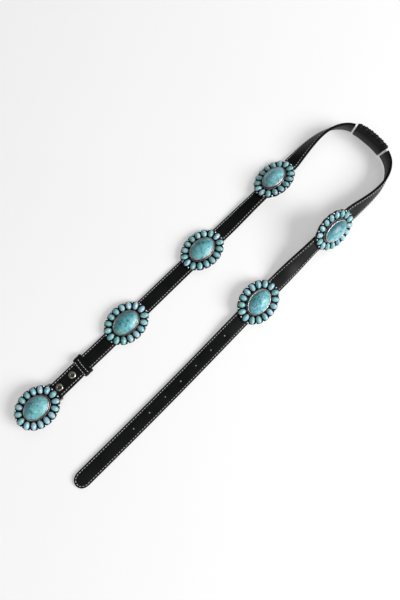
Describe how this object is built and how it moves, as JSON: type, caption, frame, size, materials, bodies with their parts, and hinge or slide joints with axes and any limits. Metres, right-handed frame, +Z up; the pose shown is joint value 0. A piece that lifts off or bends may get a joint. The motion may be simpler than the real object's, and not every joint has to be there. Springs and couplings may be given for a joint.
{
  "type": "western belt",
  "caption": "Narrow black leather western belt laid in a long U, with an oval turquoise cluster buckle, matching conchos, punched holes and white edge stitching.",
  "frame": {"origin": "under the middle of the whole belt's bounding box, on the surface that it lies on", "axes": "+X along the two straight runs towards the bend at the centre of the back, +Y towards the run that carries the buckle, +Z up"},
  "size_m": [0.5482, 0.1392, 0.0357],
  "materials": {
    "strap_leather": "black grained leather, semi-gloss, off-white edge stitching",
    "sleeve_black": "black, fine cross ribs",
    "band_white": "matt white",
    "antique_silver": "antique silver with dark oxidised recesses",
    "turquoise_stone": "polished turquoise cabochon with darker veins",
    "turquoise_petals": "polished turquoise cabochons, varied in colour",
    "snap_metal": "aged nickel"
  },
  "bodies": {
    "belt": {"strap": "strap_leather", "keeper": "strap_leather", "centre_sleeve": "sleeve_black", "white_band_1": "band_white", "white_band_2": "band_white", "snap_1_cap": "snap_metal", "snap_1_stud": "snap_metal", "snap_2_cap": "snap_metal", "snap_2_stud": "snap_metal", "concho_1_setting": "antique_silver", "concho_1_stone": "turquoise_stone", "concho_1_petals": "turquoise_petals", "concho_1_screw": "snap_metal", "concho_2_setting": "antique_silver", "concho_2_stone": "turquoise_stone", "concho_2_petals": "turquoise_petals", "concho_2_screw": "snap_metal", "concho_3_setting": "antique_silver", "concho_3_stone": "turquoise_stone", "concho_3_petals": "turquoise_petals", "concho_3_screw": "snap_metal", "concho_4_setting": "antique_silver", "concho_4_stone": "turquoise_stone", "concho_4_petals": "turquoise_petals", "concho_4_screw": "snap_metal", "concho_5_setting": "antique_silver", "concho_5_stone": "turquoise_stone", "concho_5_petals": "turquoise_petals", "concho_5_screw": "snap_metal"},
    "buckle": {"buckle_setting": "antique_silver", "buckle_stone": "turquoise_stone", "buckle_petals": "turquoise_petals"}
  },
  "joints": [
    {"name": "buckle_swing", "type": "hinge", "parent": "belt", "child": "buckle", "pos_m": [-0.21973, 0.04635, 0.0036], "axis": [0, 1, 0], "range_deg": [-90, 18]}
  ]
}
